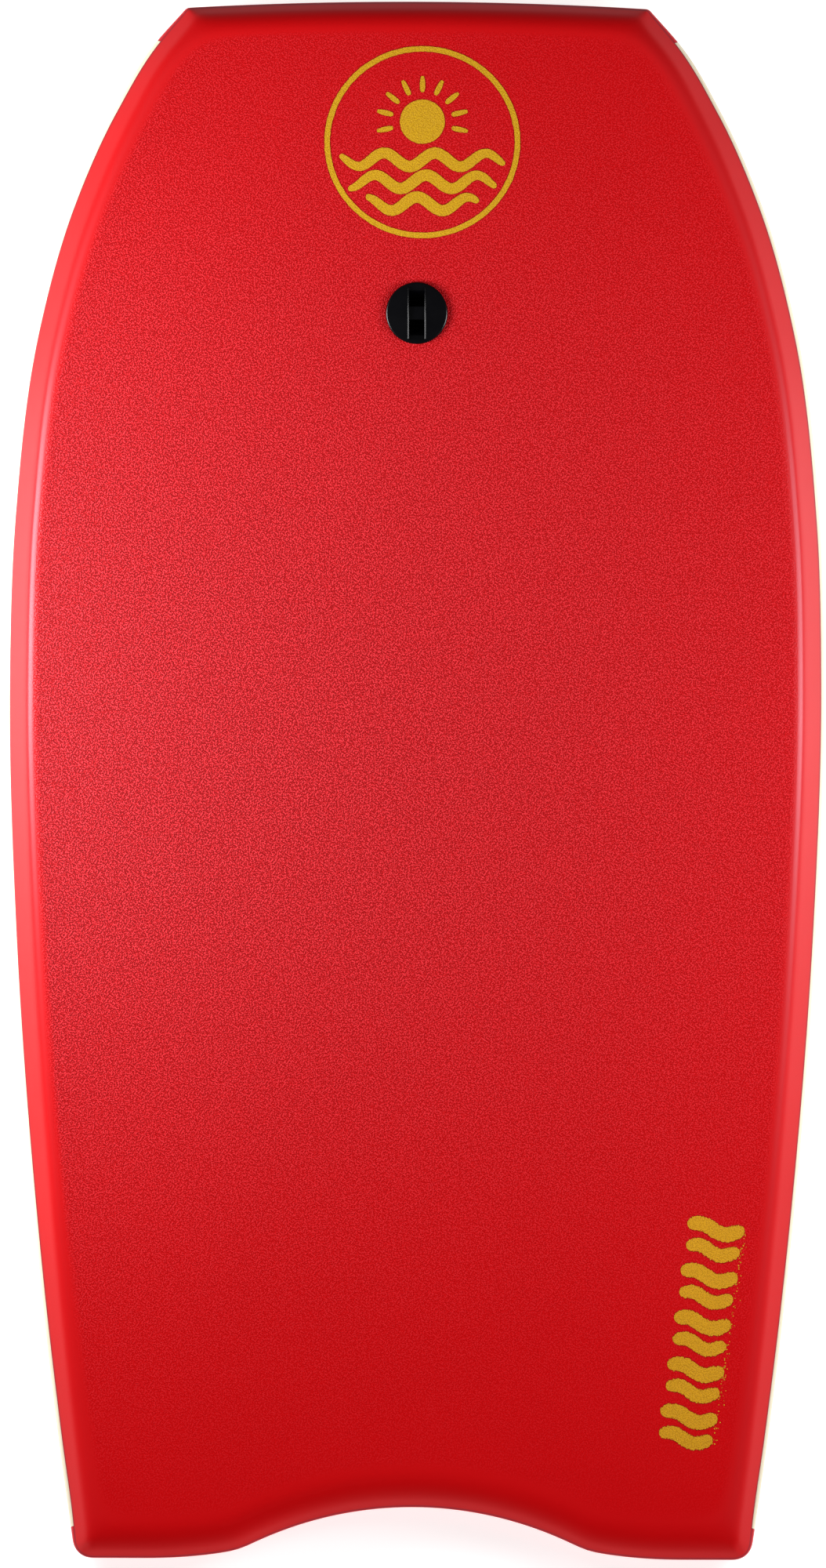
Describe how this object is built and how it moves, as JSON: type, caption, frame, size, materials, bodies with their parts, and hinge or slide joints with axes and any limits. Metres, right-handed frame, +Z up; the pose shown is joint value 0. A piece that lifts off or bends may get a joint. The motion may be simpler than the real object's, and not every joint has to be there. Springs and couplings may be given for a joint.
{
  "type": "bodyboard",
  "caption": "Foam bodyboard with a square nose, crescent tail, bevelled upper rails, slick bottom and a screw-in leash plug near the nose.",
  "frame": {"origin": "on the surface that the board lies on, under the middle of its length and width", "axes": "+Y towards the nose, +X towards the rider's right, +Z up out of the deck"},
  "size_m": [0.5472, 1.0414, 0.068],
  "materials": {
    "core_foam": "matte",
    "deck_foam": "satin",
    "rail_foam": "matte",
    "bumper_foam": "satin",
    "liner_foam": "matte",
    "slick": "satin",
    "plug_plastic": "satin",
    "print_ink": "satin"
  },
  "bodies": {
    "root": {"foam_core": "core_foam", "deck_skin": "deck_foam", "rail_left": "rail_foam", "rail_right": "rail_foam", "nose_bumper": "bumper_foam", "tail_bumper": "bumper_foam", "bottom_liner": "liner_foam", "slick_bottom": "slick", "leash_plug_top": "plug_plastic", "leash_plug_bottom": "plug_plastic"}
  },
  "joints": []
}
